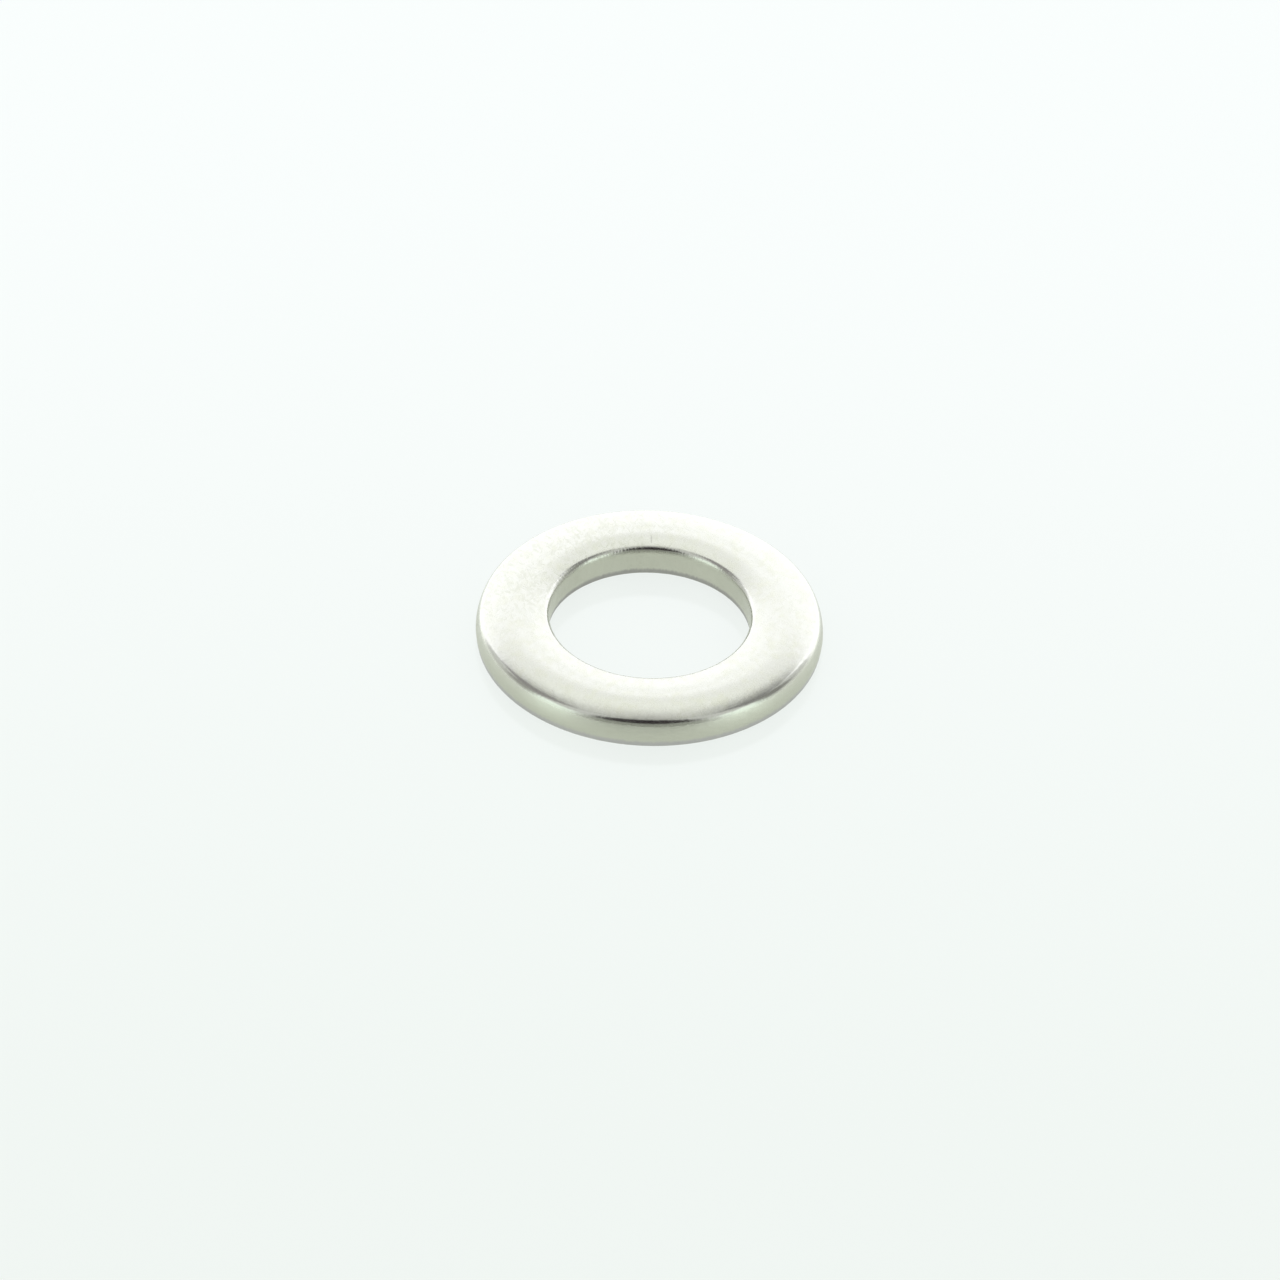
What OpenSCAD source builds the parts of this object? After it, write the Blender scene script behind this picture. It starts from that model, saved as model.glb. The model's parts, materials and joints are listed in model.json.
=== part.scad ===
// Plain washer, small series, for an 8 mm bolt.
// A flat ring blanked and pierced in one stroke of a compound die: the sheet rolls over both edges of
// the upper face, shears to a straight land below, and breaks away to a slightly leaning band at the foot.
// All lengths in millimetres. The lower face lies on z = 0, the axis of the bore is the z axis.

/* [Ring] */
// Outside diameter, across the sheared land
outside_d = 14.7; // [14:0.1:18]
// Bore diameter, across the sheared land
bore_d = 8.5; // [7.5:0.1:9.5]
// Thickness between the two flat faces
thick = 1.5; // [1.2:0.05:3]

/* [Outer edge] */
// Reach of the rolled edge, in across the upper face
outer_roll_w = 1.35; // [0.8:0.05:1.6]
// Drop of the rolled edge below the upper face
outer_roll_h = 0.6; // [0.5:0.05:0.75]
// Radius of the tight turn where the roll meets the land
outer_roll_r = 0.42; // [0.1:0.02:0.5]
// Height of the fracture band above the lower face
outer_break_h = 0.4; // [0.2:0.05:0.7]
// Lean of the fracture band, in from the land at the lower face
outer_break_lean = 0.05; // [0:0.01:0.15]
// Radius that tumbling leaves on the lower edge
outer_foot_r = 0.07; // [0.02:0.01:0.15]

/* [Bore edge] */
// Reach of the rolled edge, out across the upper face
bore_roll_w = 0.95; // [0.5:0.05:1.3]
// Drop of the rolled edge below the upper face
bore_roll_h = 0.32; // [0.24:0.02:0.5]
// Radius of the tight turn where the roll meets the land
bore_roll_r = 0.16; // [0.06:0.02:0.24]
// Height of the fracture band above the lower face
bore_break_h = 0.4; // [0.2:0.05:0.7]
// Lean of the fracture band, out from the land at the lower face
bore_break_lean = 0.05; // [0:0.01:0.15]
// Radius that tumbling leaves on the lower edge
bore_foot_r = 0.05; // [0.02:0.01:0.15]

/* [Hidden] */

// Smoothness of the ring and of the arcs in its section
ring_steps = 180;
arc_steps = 96;

// The cutting shapes run past the section by this much
clear = thick;

// Curves are drawn a hair off tangent, so that each crosses its neighbour at one clean line:
// every disc stands this far proud of the faces it rounds, and a slow curve is tighter by this share
disc_proud = 0.0005;
slow_ease = 0.995;

outer_r = outside_d / 2;
bore_r = bore_d / 2;
steel = [0.79, 0.79, 0.75];

// Radius of a slow curve off the face that is tangent to the face and to the tight turn
function tangent_r(w, h, r) = (pow(w - r, 2) + h * h - r * r) / (2 * (h - r));

// A box from one corner to the other, less a disc: what a rounded corner takes away
module round_off(low, high, centre, r) {
    difference() {
        translate(low) square(high - low);
        translate(centre) circle(r = r + disc_proud, $fn = arc_steps);
    }
}

// Waste over a rolled edge. x runs into the sheet from the land, y up from the lower face.
// A slow curve leaves the face, and a tight turn brings it round to the land.
module roll_waste(w, h, r) {
    turn_angle = atan2(tangent_r(w, h, r) - h, w - r);
    turn_w = r - r * cos(turn_angle);
    slow_r = tangent_r(w, h, r) * slow_ease;
    round_off([-clear, thick - h], [w, thick + clear], [w, thick - slow_r], slow_r);
    round_off([-clear, thick - h], [turn_w, thick + clear], [r, thick - h], r);
}

// Waste below the foot of a leaning fracture band, in the same directions
module foot_waste(h, lean, r) {
    lean_angle = atan2(lean, h);
    tangent = r / tan(45 + lean_angle / 2);
    centre = [lean + tangent, r];
    round_off([-clear, -clear], [centre.x, tangent * cos(lean_angle)], centre, r);
}

// The ring's section, from the bore on the left to the outside on the right
module ring_section() {
    difference() {
        polygon([
            [bore_r + bore_break_lean, 0],
            [outer_r - outer_break_lean, 0],
            [outer_r, outer_break_h],
            [outer_r, thick],
            [bore_r, thick],
            [bore_r, bore_break_h]
        ]);
        translate([outer_r, 0]) mirror([1, 0]) {
            roll_waste(outer_roll_w, outer_roll_h, outer_roll_r);
            foot_waste(outer_break_h, outer_break_lean, outer_foot_r);
        }
        translate([bore_r, 0]) {
            roll_waste(bore_roll_w, bore_roll_h, bore_roll_r);
            foot_waste(bore_break_h, bore_break_lean, bore_foot_r);
        }
    }
}

module washer() {
    color(steel) rotate_extrude($fn = ring_steps) ring_section();
}

washer();
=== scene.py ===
import json
import math

import bpy
from mathutils import Matrix, Vector, noise


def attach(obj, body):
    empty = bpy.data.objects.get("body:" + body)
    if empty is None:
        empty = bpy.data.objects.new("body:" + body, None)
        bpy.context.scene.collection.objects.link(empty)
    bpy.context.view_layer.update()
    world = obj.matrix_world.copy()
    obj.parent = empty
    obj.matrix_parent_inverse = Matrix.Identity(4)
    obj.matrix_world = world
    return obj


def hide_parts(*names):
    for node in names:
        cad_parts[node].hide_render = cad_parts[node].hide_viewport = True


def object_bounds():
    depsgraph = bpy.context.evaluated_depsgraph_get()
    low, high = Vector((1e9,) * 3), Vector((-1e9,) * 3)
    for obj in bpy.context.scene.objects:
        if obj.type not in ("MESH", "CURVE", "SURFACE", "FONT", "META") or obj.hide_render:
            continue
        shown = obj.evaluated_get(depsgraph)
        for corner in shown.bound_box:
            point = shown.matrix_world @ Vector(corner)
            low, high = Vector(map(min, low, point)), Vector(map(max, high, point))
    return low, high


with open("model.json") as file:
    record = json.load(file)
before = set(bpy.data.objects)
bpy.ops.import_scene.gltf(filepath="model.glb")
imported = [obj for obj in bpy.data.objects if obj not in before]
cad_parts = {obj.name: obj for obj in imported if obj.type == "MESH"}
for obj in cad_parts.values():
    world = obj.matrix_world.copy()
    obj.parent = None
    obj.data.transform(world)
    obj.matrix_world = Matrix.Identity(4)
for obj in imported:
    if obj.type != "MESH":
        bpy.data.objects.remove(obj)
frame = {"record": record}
cadLow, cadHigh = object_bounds()
mm = 0.001  # sizes below are in millimetres unless a note says otherwise
scene = bpy.context.scene
print("frame loaded, box", [round(v, 5) for v in cadHigh - cadLow])


# camera: a long lens from the front, a little rolled
cameraSetup = {
    "elevation": 39.1,  # degrees above the table
    "roll": 1.9,  # degrees, the right side of the picture hangs lower
    "distance": 600.0,
    "frameWidth": 54.2,  # table seen across the picture, at the washer
    "pictureSide": 1280,  # pixels
    "centrePixel": (649.1, 636.8),  # where the middle of the lower face lands
    "sensor": 36.0,
}


def makeCamera(setup):
    elevation, roll = math.radians(setup["elevation"]), math.radians(setup["roll"])
    back = Vector((0, -math.cos(elevation), math.sin(elevation)))
    level = Vector((1, 0, 0))
    tall = back.cross(level)
    right = level * math.cos(roll) + tall * math.sin(roll)
    up = tall * math.cos(roll) - level * math.sin(roll)
    pixel = setup["frameWidth"] * mm / setup["pictureSide"]
    half = setup["pictureSide"] / 2
    across, down = setup["centrePixel"]
    place = back * setup["distance"] * mm - right * (across - half) * pixel + up * (down - half) * pixel
    data = bpy.data.cameras.new("camera")
    data.sensor_width = setup["sensor"]
    data.lens = setup["sensor"] * setup["distance"] / setup["frameWidth"]
    data.clip_start, data.clip_end = 0.01, 10  # metres
    camera = bpy.data.objects.new("camera", data)
    scene.collection.objects.link(camera)
    turn = Matrix((right, up, back)).transposed()
    camera.matrix_world = Matrix.Translation(place) @ turn.to_4x4()
    scene.camera = camera


makeCamera(cameraSetup)
print("camera placed")


# washer: the stamped ring, with its section swept round the bore
washerShape = {
    "outerRadius": cadHigh.x / mm,
    "boreRadius": frame["record"]["mounts"][0]["dims"]["r_mm"],
    "thick": cadHigh.z / mm,
    "outerEdge": {"rollWide": 1.6, "rollDeep": 0.52, "turn": 0.46, "bulge": 0.103,
                  "breakHigh": 0.4, "lean": 0.05, "foot": 0.07},
    "boreEdge": {"rollWide": 1.1, "rollDeep": 0.44, "turn": 0.33, "bulge": 0.0,
                 "breakHigh": 0.4, "lean": 0.05, "foot": 0.05},
    "stepsRound": 720,
    # steps along each zone of an edge, and across the two faces
    "steps": {"foot": 6, "torn": 6, "land": 9, "turn": 16, "roll": 12, "top": 8, "under": 12},
    "uneven": {"foot": 0.004, "torn": 0.008, "land": 0.0015, "turn": 0.001, "roll": 0.0008, "face": 0.0008},
    "unevenScale": 3.2,  # swells in a millimetre
    # scratch over the bore's far edge
    "nick": {"azimuth": 90.5, "radii": (4.55, 5.15), "wide": 0.05, "deep": 0.008},
}


def edgeOutline(edge, thick, steps):
    # one sheared edge from the lower face up and over to the flat upper face,
    # as (inward, up, zone) points measured from the land
    wide, deep, turn = edge["rollWide"], edge["rollDeep"], edge["turn"]
    lean, breakHigh, foot = edge["lean"], edge["breakHigh"], edge["foot"]
    leanAngle = math.atan2(lean, breakHigh)
    tangent = foot / math.tan(math.pi / 4 + leanAngle / 2)
    points = []
    for k in range(steps["foot"] + 1):  # foot, from facing down to square with the leaning band
        a = (math.pi / 2 - leanAngle) * k / steps["foot"]
        points.append((lean + tangent - foot * math.sin(a), foot - foot * math.cos(a), "foot"))
    footIn, footUp, zone = points[-1]
    for k in range(1, steps["torn"] + 1):  # fracture band
        t = k / steps["torn"]
        points.append((footIn * (1 - t), footUp + (breakHigh - footUp) * t, "torn"))
    landHigh, landTop = thick - deep - breakHigh, thick - deep
    for k in range(1, steps["land"] + 1):  # land, drawn in towards the roll
        t = k / steps["land"]
        points.append((edge["bulge"] * t * t, breakHigh + landHigh * t, "land"))
    start = math.pi / 2 - math.atan2(2 * edge["bulge"], landHigh)  # tilt where the land ends
    turnIn, turnUp = edge["bulge"] + turn * math.sin(start), landTop - turn * math.cos(start)
    drop, reach = thick - turnUp, wide - turnIn
    slow = (reach ** 2 + drop ** 2 - turn ** 2) / (2 * (drop - turn))
    meet = math.asin(reach / (slow - turn))  # tilt where the two curves meet
    for k in range(1, steps["turn"] + 1):  # tight turn
        a = start + (meet - start) * k / steps["turn"]
        points.append((turnIn - turn * math.sin(a), turnUp + turn * math.cos(a), "turn"))
    for k in range(1, steps["roll"] + 1):  # slow curve
        a = meet * (1 - k / steps["roll"])
        points.append((wide - slow * math.sin(a), thick - slow + slow * math.cos(a), "roll"))
    return points


def ringSection(shape):
    # (radius, height, zone) points up the bore, across the top, down the outside and back underneath
    thick, steps = shape["thick"], shape["steps"]
    boreLine = edgeOutline(shape["boreEdge"], thick, steps)
    outerLine = edgeOutline(shape["outerEdge"], thick, steps)
    bore = [(shape["boreRadius"] + u, v, zone) for u, v, zone in boreLine]
    outer = [(shape["outerRadius"] - u, v, zone) for u, v, zone in reversed(outerLine)]
    topIn, topOut = bore[-1][0], outer[0][0]
    footIn, footOut = bore[0][0], outer[-1][0]
    top = [topIn + (topOut - topIn) * k / steps["top"] for k in range(1, steps["top"])]
    under = [footOut + (footIn - footOut) * k / steps["under"] for k in range(1, steps["under"])]
    return bore + [(r, thick, "face") for r in top] + outer + [(r, 0.0, "face") for r in under]


def nickDepth(nick, radius, azimuth):
    low, high = nick["radii"]
    if not low < radius < high:
        return 0.0
    aside = radius * math.radians(azimuth - nick["azimuth"]) / nick["wide"]
    return nick["deep"] * math.exp(-aside * aside) * math.sin(math.pi * (radius - low) / (high - low))


def makeWasher(shape):
    section = ringSection(shape)
    count, steps = len(section), shape["stepsRound"]
    points, faces = [], []
    for i in range(steps):
        a = 2 * math.pi * i / steps
        c, s = math.cos(a), math.sin(a)
        for k, (r, z, zone) in enumerate(section):
            before, after = section[k - 1], section[(k + 1) % count]
            out = Vector((before[1] - after[1], after[0] - before[0])).normalized()  # square to the section
            tall = 0.5 if zone == "land" else 1.0  # on the land the swells are drawn out upright
            spot = Vector((r * c, r * s, z * tall)) * shape["unevenScale"]
            lift = noise.fractal(spot, 1.0, 2.0, 3) * shape["uneven"][zone]
            if z > shape["thick"] / 2:
                lift -= nickDepth(shape["nick"], r, math.degrees(a))
            rNow, zNow = r + out.x * lift, max(z + out.y * lift, 0.0)
            points.append((rNow * c * mm, rNow * s * mm, zNow * mm))
    for i in range(steps):
        here, there = i * count, (i + 1) % steps * count
        for k in range(count):
            n = (k + 1) % count
            faces.append((here + k, here + n, there + n, there + k))
    mesh = bpy.data.meshes.new("washer_ring")
    mesh.from_pydata(points, [], faces)
    mesh.update()
    mesh.polygons.foreach_set("use_smooth", [True] * len(faces))
    ring = bpy.data.objects.new("washer_ring", mesh)
    scene.collection.objects.link(ring)
    return ring


washerRing = makeWasher(washerShape)
print("washer swept,", len(washerRing.data.polygons), "faces")


# node helpers: each adds one node and gives back its output
def put(tree, value, socket):
    if isinstance(value, bpy.types.NodeSocket):
        tree.links.new(value, socket)
    else:
        socket.default_value = value


def calc(tree, operation, *values):
    node = tree.nodes.new("ShaderNodeMath")
    node.operation = operation
    for value, socket in zip(values, node.inputs):
        put(tree, value, socket)
    return node.outputs[0]


def vector(tree, operation, a, b=None, scale=None):
    node = tree.nodes.new("ShaderNodeVectorMath")
    node.operation = operation
    put(tree, a, node.inputs[0])
    if b is not None:
        put(tree, b, node.inputs[1])
    if scale is not None:
        node.inputs["Scale"].default_value = scale
    return node.outputs["Value" if operation in ("LENGTH", "DOT_PRODUCT") else "Vector"]


def rise(tree, value, low, high):
    # 0 below low, 1 above high, smooth between
    node = tree.nodes.new("ShaderNodeMapRange")
    node.interpolation_type = "SMOOTHSTEP"
    put(tree, value, node.inputs["Value"])
    node.inputs["From Min"].default_value = low
    node.inputs["From Max"].default_value = high
    return node.outputs["Result"]


def blend(tree, factor, a, b):
    node = tree.nodes.new("ShaderNodeMix")
    node.data_type = "RGBA"
    put(tree, factor, node.inputs[0])
    put(tree, a, node.inputs[6])
    put(tree, b, node.inputs[7])
    return node.outputs[2]


def cloud(tree, place, scale, detail):
    node = tree.nodes.new("ShaderNodeTexNoise")
    put(tree, place, node.inputs["Vector"])
    node.inputs["Scale"].default_value = scale
    node.inputs["Detail"].default_value = detail
    return node.outputs["Fac"]


# steel: bright and tumbled on top, sheared on the land, torn and duller on the fracture band, which is
# painted darker inside the bore as painted shade
steelFinish = {
    "face": (0.6, 0.606, 0.545, 1),
    "stain": (0.582, 0.59, 0.5, 1),  # faint warm film left in patches on the face
    "edge": (0.62, 0.624, 0.565, 1),  # polished by the tumbling
    "mark": (0.56, 0.57, 0.49, 1),  # in the strokes
    "land": (0.55, 0.562, 0.468, 1),
    "outerTorn": (0.47, 0.465, 0.45, 1),
    # painted shade: the fracture band inside the bore is darker than outside; the dirt in the scratch takes
    # the same colour
    "boreTorn": (0.35, 0.345, 0.32, 1),
    "faceRough": 0.26,
    "roughSpread": 0.08,  # from the smooth of the grain to the rough
    "strokeRough": 0.08,  # more in the strokes
    "edgeRough": 0.17,
    "landRough": 0.35,
    "wallTilt": (0.05, 0.8),  # upward part of the normal, from wall to rolled edge
    "edgeTilt": (0.8, 0.985),  # and from rolled edge to face
    "boreSide": (5.0, 6.0),  # radii between which the bore's finish, with the painted shade on its fracture band, gives way to the outside's
    "tornHigh": 0.26,  # mean height of the dull band over the lower face
    "tornUneven": 0.2,
    "tornSoft": 0.2,
    "patchScale": 1.3,  # patches of film in a millimetre
    "grainScale": 3.2,
    "grainStretch": (1, 0.7, 1),  # the grain runs with the rolled sheet
    "strokeTurns": (58, 84, 109, 141),  # degrees, the ways the short tumbling strokes run
    "strokeSize": (0.42, 0.15),  # long and wide
    "strokeSide": (-0.68, 0.73, 0),  # the side of the face where they show most
    "strokeShare": (0.3, 0.65),  # all round, and more on that side
    "dragLines": 48.0,  # lines over the edges, in a radian
    "dragStretch": 0.8,  # how soon a line changes along its length
    "rowScale": (32.0, 64.0),  # rows on the walls: round, in a radian, and up, in a millimetre
    "relief": 0.006,  # the heights below are parts of this
    "grainDeep": 0.55,
    "strokeDeep": 0.3,
    "dragDeep": {"bore": 1.1, "outer": 0.1},
    "rowDeep": 1.8,
    # dirt in the scratch over the bore's edge
    "nick": {"across": -0.04, "wide": 0.05, "along": (4.55, 5.12), "fades": (0.1, 0.2), "dirt": 0.6},
}


def strokeMarks(tree, spot, finish):
    # short strokes lying several ways, as depths from 0 to 1
    marks = 0.0
    for turn in finish["strokeTurns"]:
        mapping = tree.nodes.new("ShaderNodeMapping")
        mapping.vector_type = "TEXTURE"  # turned first and then stretched
        put(tree, spot, mapping.inputs["Vector"])
        mapping.inputs["Rotation"].default_value = (0, 0, math.radians(turn))
        mapping.inputs["Scale"].default_value = (*finish["strokeSize"], 1.0)
        mapping.inputs["Location"].default_value = (turn * 0.37, turn * 0.11, 0)  # each way its own
        stroke = rise(tree, cloud(tree, mapping.outputs["Vector"], 1.0, 1.0), 0.55, 0.75)
        marks = calc(tree, "MAXIMUM", stroke, marks)
    return marks


def makeSteel(finish):
    material = bpy.data.materials.new("tumbled_steel")
    material.use_nodes = True
    tree = material.node_tree
    shader = tree.nodes["Principled BSDF"]
    coords = tree.nodes.new("ShaderNodeTexCoord")
    spot = vector(tree, "SCALE", coords.outputs["Object"], scale=1 / mm)
    split = tree.nodes.new("ShaderNodeSeparateXYZ")
    put(tree, spot, split.inputs[0])
    facing = tree.nodes.new("ShaderNodeSeparateXYZ")
    put(tree, coords.outputs["Normal"], facing.inputs[0])
    upward = calc(tree, "ABSOLUTE", facing.outputs["Z"])
    wall = calc(tree, "SUBTRACT", 1.0, rise(tree, upward, *finish["wallTilt"]))
    turned = calc(tree, "SUBTRACT", 1.0, rise(tree, upward, *finish["edgeTilt"]))  # edges and walls
    flat = vector(tree, "MULTIPLY", spot, (1, 1, 0))
    outward = vector(tree, "NORMALIZE", flat)
    radius = vector(tree, "LENGTH", flat)
    outerSide = rise(tree, radius, *finish["boreSide"])

    # tumbled face: broad patches, grain, and short strokes that show most behind and to the left
    sheet = vector(tree, "MULTIPLY", spot, finish["grainStretch"])
    patches = cloud(tree, spot, finish["patchScale"], 3.0)
    grain = cloud(tree, sheet, finish["grainScale"], 1.0)
    leftBehind = rise(tree, vector(tree, "DOT_PRODUCT", outward, finish["strokeSide"]), 0.3, 0.95)
    allRound, moreThere = finish["strokeShare"]
    strokeShare = calc(tree, "MULTIPLY_ADD", leftBehind, moreThere, allRound)
    strokes = calc(tree, "MULTIPLY", strokeMarks(tree, spot, finish), strokeShare)
    # scratch
    nick = finish["nick"]
    aside = calc(tree, "ABSOLUTE", calc(tree, "SUBTRACT", split.outputs["X"], nick["across"]))
    start, end = nick["along"]
    fadeIn, fadeOut = nick["fades"]
    nicked = calc(tree, "SUBTRACT", rise(tree, split.outputs["Y"], start, start + fadeIn),
                  rise(tree, split.outputs["Y"], end - fadeOut, end))
    within = calc(tree, "MULTIPLY_ADD", rise(tree, aside, 0.0, nick["wide"]), -nick["dirt"], nick["dirt"])
    nicked = calc(tree, "MULTIPLY", nicked, within)
    # drag lines over the rolled edges and up the walls
    polar = tree.nodes.new("ShaderNodeCombineXYZ")
    put(tree, calc(tree, "MULTIPLY", radius, finish["dragStretch"]), polar.inputs["X"])
    put(tree, calc(tree, "MULTIPLY", split.outputs["Z"], finish["dragStretch"]), polar.inputs["Y"])
    around = vector(tree, "SCALE", outward, scale=finish["dragLines"])
    dragPlace = vector(tree, "ADD", around, polar.outputs[0])
    drag = cloud(tree, dragPlace, 1.0, 3.0)
    # torn band, with an uneven upper limit
    limit = calc(tree, "MULTIPLY_ADD", drag, finish["tornUneven"], split.outputs["Z"])
    tornEnd = finish["tornHigh"] + finish["tornSoft"]
    tornHere = calc(tree, "SUBTRACT", 1.0, rise(tree, limit, finish["tornHigh"], tornEnd))
    torn = calc(tree, "MULTIPLY", tornHere, wall)

    # colour, roughness and relief
    stained = calc(tree, "MULTIPLY", rise(tree, patches, 0.35, 0.65), rise(tree, grain, 0.3, 0.7))
    colour = blend(tree, stained, finish["face"], finish["stain"])
    colour = blend(tree, turned, colour, finish["edge"])
    colour = blend(tree, strokes, colour, finish["mark"])
    # dirt in the scratch, in the same dark colour as the painted shade on the bore's fracture band
    colour = blend(tree, nicked, colour, finish["boreTorn"])
    colour = blend(tree, wall, colour, finish["land"])
    # the fracture band is duller all round, and darker inside the bore as painted shade
    tornAndBoreShadeColour = blend(tree, outerSide, finish["boreTorn"], finish["outerTorn"])
    put(tree, blend(tree, torn, colour, tornAndBoreShadeColour), shader.inputs["Base Color"])

    smooth = finish["faceRough"] - finish["roughSpread"] / 2
    faceRough = calc(tree, "MULTIPLY_ADD", grain, finish["roughSpread"], smooth)
    faceRough = calc(tree, "MULTIPLY_ADD", strokes, finish["strokeRough"], faceRough)
    edgeGain = calc(tree, "MULTIPLY", turned, finish["edgeRough"] - finish["faceRough"])
    landGain = calc(tree, "MULTIPLY", wall, finish["landRough"] - finish["edgeRough"])
    roughness = calc(tree, "ADD", calc(tree, "ADD", faceRough, edgeGain), landGain)
    put(tree, roughness, shader.inputs["Roughness"])

    grainRelief = calc(tree, "MULTIPLY", grain, finish["grainDeep"])
    relief = calc(tree, "MULTIPLY_ADD", strokes, -finish["strokeDeep"], grainRelief)
    dragDeep = finish["dragDeep"]
    dragHere = calc(tree, "MULTIPLY_ADD", outerSide, dragDeep["outer"] - dragDeep["bore"], dragDeep["bore"])
    relief = calc(tree, "MULTIPLY_ADD", drag, calc(tree, "MULTIPLY", turned, dragHere), relief)
    # fine rows round the sheared walls
    rowsRound, rowsUp = finish["rowScale"]
    level = tree.nodes.new("ShaderNodeCombineXYZ")
    put(tree, calc(tree, "MULTIPLY", split.outputs["Z"], rowsUp), level.inputs["Z"])
    rowPlace = vector(tree, "ADD", vector(tree, "SCALE", outward, scale=rowsRound), level.outputs[0])
    rows = cloud(tree, rowPlace, 1.0, 1.0)
    relief = calc(tree, "MULTIPLY_ADD", rows, calc(tree, "MULTIPLY", wall, finish["rowDeep"]), relief)
    bump = tree.nodes.new("ShaderNodeBump")
    bump.inputs["Strength"].default_value = 1
    bump.inputs["Distance"].default_value = finish["relief"] * mm
    put(tree, relief, bump.inputs["Height"])
    put(tree, bump.outputs["Normal"], shader.inputs["Normal"])
    shader.inputs["Metallic"].default_value = 1
    return material


washerRing.data.materials.append(makeSteel(steelFinish))
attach(washerRing, "root")
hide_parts("washer")
print("steel on the washer")


# table: pale and faintly glossy, mostly bright of itself to the eye, with a weak shadow left on it and
# painted shade that darkens it towards the near side
tableFinish = {
    "near": (0.868, 0.914, 0.882, 1),
    "far": (0.912, 0.948, 0.934, 1),
    "fade": (-30, 34),  # painted shade: from the darker near colour to the lighter far one, along Y
    "glow": 0.88,
    "size": 1200.0,
    "roughness": 0.12,
    "specular": 0.2,
}


def seenFactor(tree):
    # 1 for what the camera sees directly, in reflections and through glass
    paths = tree.nodes.new("ShaderNodeLightPath")
    seen = calc(tree, "MAXIMUM", paths.outputs["Is Camera Ray"], paths.outputs["Is Glossy Ray"])
    return calc(tree, "MAXIMUM", seen, paths.outputs["Is Transmission Ray"])


def makeTable(finish):
    half = finish["size"] * mm / 2
    mesh = bpy.data.meshes.new("table")
    corners = [(-half, -half, 0), (half, -half, 0), (half, half, 0), (-half, half, 0)]
    mesh.from_pydata(corners, [], [(0, 1, 2, 3)])
    table = bpy.data.objects.new("table", mesh)
    scene.collection.objects.link(table)
    material = bpy.data.materials.new("pale_table")
    material.use_nodes = True
    tree = material.node_tree
    shader = tree.nodes["Principled BSDF"]
    coords = tree.nodes.new("ShaderNodeTexCoord")
    split = tree.nodes.new("ShaderNodeSeparateXYZ")
    put(tree, vector(tree, "SCALE", coords.outputs["Object"], scale=1 / mm), split.inputs[0])
    # painted shade: the table's colour is darker towards the near side and lighter towards the far side
    colour = blend(tree, rise(tree, split.outputs["Y"], *finish["fade"]), finish["near"], finish["far"])
    put(tree, vector(tree, "SCALE", colour, scale=1 - finish["glow"]), shader.inputs["Base Color"])
    put(tree, colour, shader.inputs["Emission Color"])
    put(tree, calc(tree, "MULTIPLY", seenFactor(tree), finish["glow"]), shader.inputs["Emission Strength"])
    shader.inputs["Roughness"].default_value = finish["roughness"]
    shader.inputs["Specular IOR Level"].default_value = finish["specular"]
    material.cycles.emission_sampling = "NONE"
    mesh.materials.append(material)


makeTable(tableFinish)
print("table laid")


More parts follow.
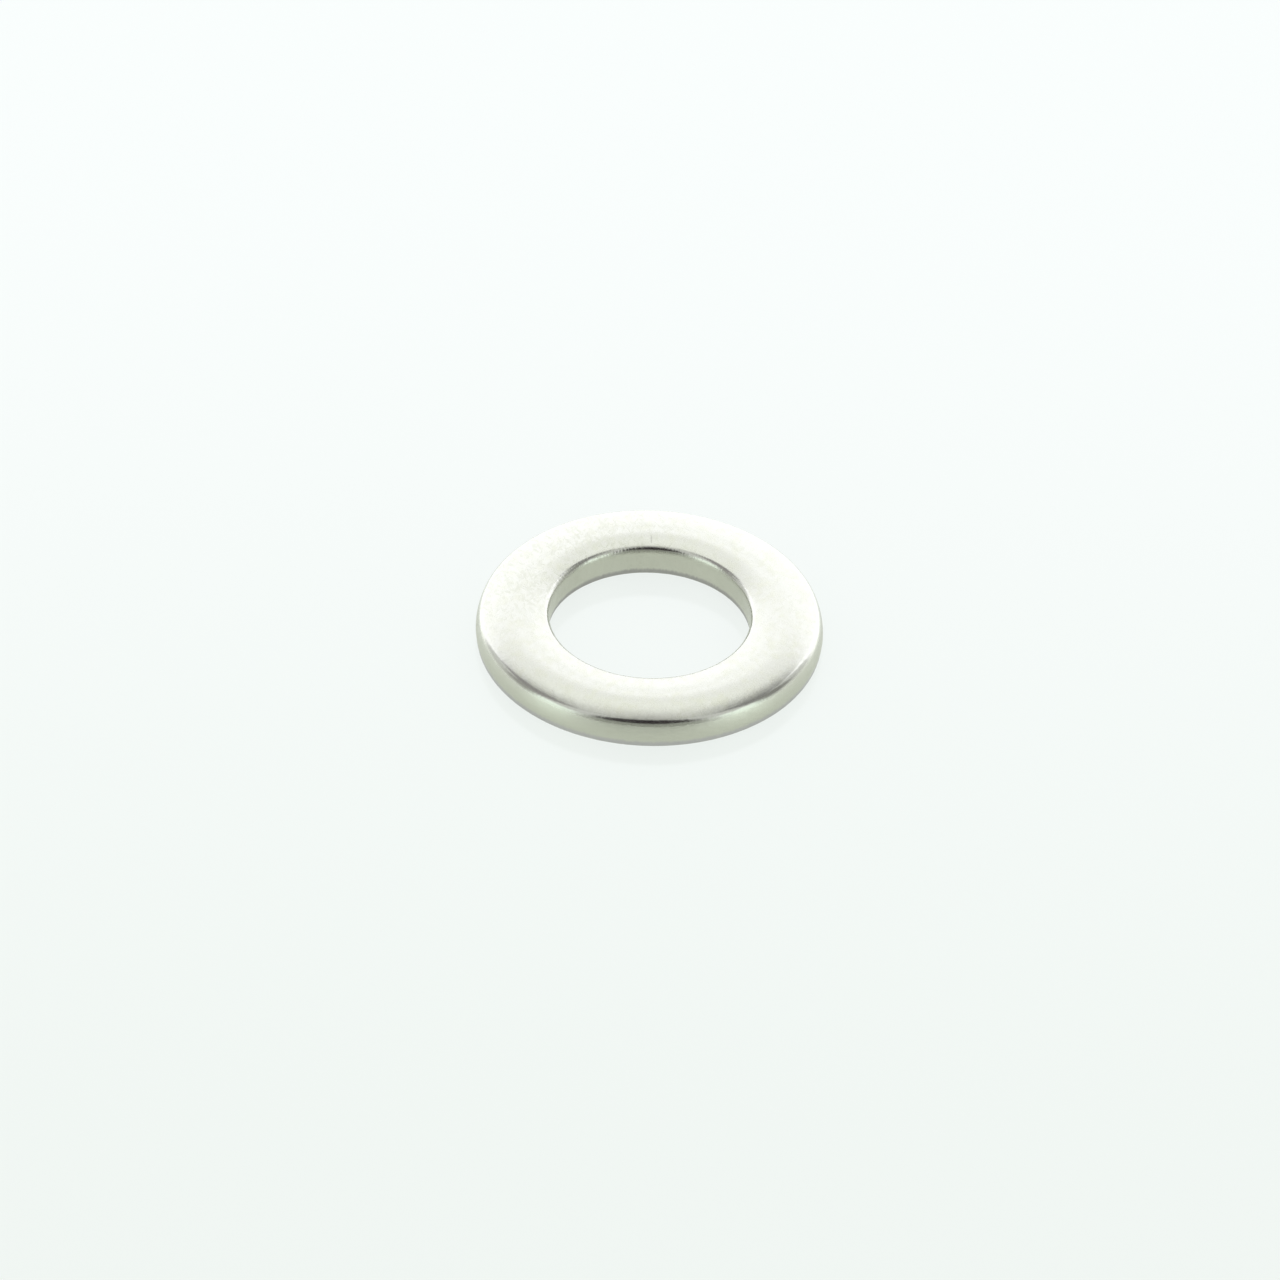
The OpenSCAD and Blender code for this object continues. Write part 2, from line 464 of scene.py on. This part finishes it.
# light: a pale room with soft panels round the washer, which show only in the steel and on the table
roomLight = {"colour": (0.98, 1.0, 1.0, 1), "strength": 0.85}
panelShape = {"distance": 400.0, "across": 36, "tall": 12}  # the last two count faces
lightPanels = {
    "behind": {"azimuths": (-58, 62), "elevations": (0, 43),
               "colour": (0.985, 0.99, 1.05), "strength": 1.75},
    "behind_mid": {"azimuths": (-48, 45), "elevations": (43, 55),
                   "colour": (0.99, 1.0, 1.02), "strength": 1.28},
    "behind_above": {"azimuths": (-46, 43), "elevations": (55, 72),
                     "colour": (0.99, 1.01, 1.0), "strength": 1.42},
    "left": {"azimuths": (-133, -106), "elevations": (0, 38),
             "colour": (0.9, 1.0, 0.95), "strength": 1.5},
    "right": {"azimuths": (105, 132), "elevations": (0, 38),
              "colour": (0.9, 1.0, 0.95), "strength": 1.55},
    "left_grey": {"azimuths": (-103, -52), "elevations": (38, 67),
                  "colour": (1.0, 0.97, 1.0), "strength": 0.38},
    "right_grey": {"azimuths": (44, 103), "elevations": (46, 68),
                   "colour": (0.98, 0.98, 1.0), "strength": 0.32},
    "left_dim": {"azimuths": (-103, -80), "elevations": (14, 38),
                 "colour": (1.0, 1.0, 0.98), "strength": 0.45},
    "right_dim": {"azimuths": (78, 103), "elevations": (14, 46),
                  "colour": (1.0, 1.0, 0.98), "strength": 0.32},
    "behind_top": {"azimuths": (-50, 48), "elevations": (72, 81),
                   "colour": (1.0, 1.0, 1.0), "strength": 1.05},
    "top_grey": {"azimuths": (-180, 180), "elevations": (81, 90),
                 "colour": (1.0, 1.0, 1.0), "strength": 0.5},
    "front_dark": {"azimuths": (142, 218), "elevations": (40, 80),
                   "colour": (1.0, 0.85, 0.95), "strength": 0.05},
    "front_low": {"azimuths": (142, 218), "elevations": (0, 40),
                  "colour": (0.95, 1.0, 0.92), "strength": 0.42},
}


def aim(azimuth, elevation):
    # azimuth 0 is straight behind the washer and 90 to its right
    a, e = math.radians(azimuth), math.radians(elevation)
    return Vector((math.sin(a) * math.cos(e), math.cos(a) * math.cos(e), math.sin(e)))


def makeRoom(setup):
    world = bpy.data.worlds.new("pale_room")
    scene.world = world
    world.use_nodes = True
    background = world.node_tree.nodes["Background"]
    background.inputs["Color"].default_value = setup["colour"]
    background.inputs["Strength"].default_value = setup["strength"]


def makePanel(name, setup, shape):
    # a piece of a dome round the washer
    low, high = setup["elevations"]
    left, right = setup["azimuths"]
    across, tall = shape["across"], shape["tall"]
    points, faces = [], []
    for j in range(tall + 1):
        elevation = low + (high - low) * j / tall
        for i in range(across + 1):
            azimuth = left + (right - left) * i / across
            points.append(aim(azimuth, elevation) * shape["distance"] * mm)
    for j in range(tall):
        for i in range(across):
            k = j * (across + 1) + i
            faces.append((k, k + 1, k + across + 2, k + across + 1))
    mesh = bpy.data.meshes.new(name)
    mesh.from_pydata(points, [], faces)
    panel = bpy.data.objects.new(name, mesh)
    scene.collection.objects.link(panel)
    material = bpy.data.materials.new(name)
    material.use_nodes = True
    tree = material.node_tree
    light = tree.nodes.new("ShaderNodeEmission")
    light.inputs["Color"].default_value = (*setup["colour"], 1)
    light.inputs["Strength"].default_value = setup["strength"]
    tree.links.new(light.outputs[0], tree.nodes["Material Output"].inputs["Surface"])
    material.cycles.emission_sampling = "NONE"  # found by the reflections themselves, which is quicker
    mesh.materials.append(material)
    panel.visible_camera = False


makeRoom(roomLight)
for panelName, panelSetup in lightPanels.items():
    makePanel("panel_" + panelName, panelSetup, panelShape)
scene.view_settings.view_transform = "Standard"
print("lights set")
